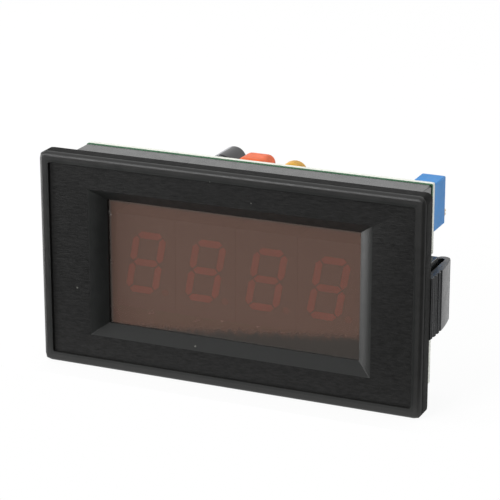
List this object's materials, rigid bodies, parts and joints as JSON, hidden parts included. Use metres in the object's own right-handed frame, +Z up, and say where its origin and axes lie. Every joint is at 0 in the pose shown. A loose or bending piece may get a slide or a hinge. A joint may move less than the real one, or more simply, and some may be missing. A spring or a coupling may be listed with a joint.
{
  "type": "digital panel meter",
  "caption": "Small LED panel meter: black moulded bezel with a sloped window and tinted filter, thin case, rear circuit board and ribbed spring clips that slide on side rails.",
  "frame": {"origin": "middle of the panel seat, which is the back face of the bezel flange", "axes": "+X to the viewer's right along the bezel's width, +Y into the panel, +Z up the bezel's height"},
  "size_m": [0.0796, 0.027, 0.043],
  "materials": {
    "black_abs": "moulded, matt rim and fine grained face",
    "filter_acrylic": "polished, dark red-brown tint",
    "board_laminate": "green solder resist, bare pale edge",
    "screw_steel": "zinc plated",
    "digit_plastic": "dark moulded",
    "light_bar": "unlit, dull red",
    "tinned_lead": "tinned",
    "trimmer_blue": "moulded, satin",
    "screw_brass": "turned",
    "can_sleeve": "black sleeve",
    "orange_dip": "dipped resin",
    "yellow_dip": "dipped resin",
    "chip_epoxy": "moulded",
    "resistor_coat": "lacquered",
    "diode_glass": "orange tinted",
    "disc_coat": "dipped resin",
    "clip_nylon": "moulded, semi-matt"
  },
  "bodies": {
    "meter": {"bezel_case": "black_abs", "display_filter": "filter_acrylic", "circuit_board": "board_laminate", "board_screws": "screw_steel", "digit_1_body": "digit_plastic", "digit_2_body": "digit_plastic", "digit_3_body": "digit_plastic", "digit_4_body": "digit_plastic", "digit_1_bars": "light_bar", "digit_2_bars": "light_bar", "digit_3_bars": "light_bar", "digit_4_bars": "light_bar", "digit_1_pins": "tinned_lead", "digit_2_pins": "tinned_lead", "digit_3_pins": "tinned_lead", "digit_4_pins": "tinned_lead", "trimmer_body": "trimmer_blue", "trimmer_pins": "tinned_lead", "electrolytic_capacitor": "can_sleeve", "electrolytic_leads": "tinned_lead", "film_capacitor": "orange_dip", "film_capacitor_leads": "tinned_lead", "ceramic_capacitor": "yellow_dip", "ceramic_capacitor_leads": "tinned_lead", "converter_chip": "chip_epoxy", "converter_leads": "tinned_lead", "resistor_1": "resistor_coat", "resistor_2": "resistor_coat", "resistor_3": "resistor_coat", "resistor_4": "resistor_coat", "resistor_5": "resistor_coat", "resistor_1_leads": "tinned_lead", "resistor_2_leads": "tinned_lead", "resistor_3_leads": "tinned_lead", "resistor_4_leads": "tinned_lead", "resistor_5_leads": "tinned_lead", "diode_1": "diode_glass", "diode_2": "diode_glass", "diode_1_leads": "tinned_lead", "diode_2_leads": "tinned_lead", "disc_capacitor_1": "disc_coat", "disc_capacitor_2": "disc_coat", "disc_capacitor_1_leads": "tinned_lead", "disc_capacitor_2_leads": "tinned_lead"},
    "left_clip": {"left_clip": "clip_nylon"},
    "right_clip": {"right_clip": "clip_nylon"},
    "trimmer_screw": {"trimmer_screw": "screw_brass"}
  },
  "joints": [
    {"name": "left_clip_slide", "type": "slide", "parent": "meter", "child": "left_clip", "axis": [0, 1, 0], "range_m": [0, 0.0085]},
    {"name": "right_clip_slide", "type": "slide", "parent": "meter", "child": "right_clip", "axis": [0, 1, 0], "range_m": [0, 0.0085]},
    {"name": "trimmer_turn", "type": "hinge", "parent": "meter", "child": "trimmer_screw", "pos_m": [0.0334, 0.0212, 0.01065], "axis": [0, 1, 0], "continuous": true}
  ]
}
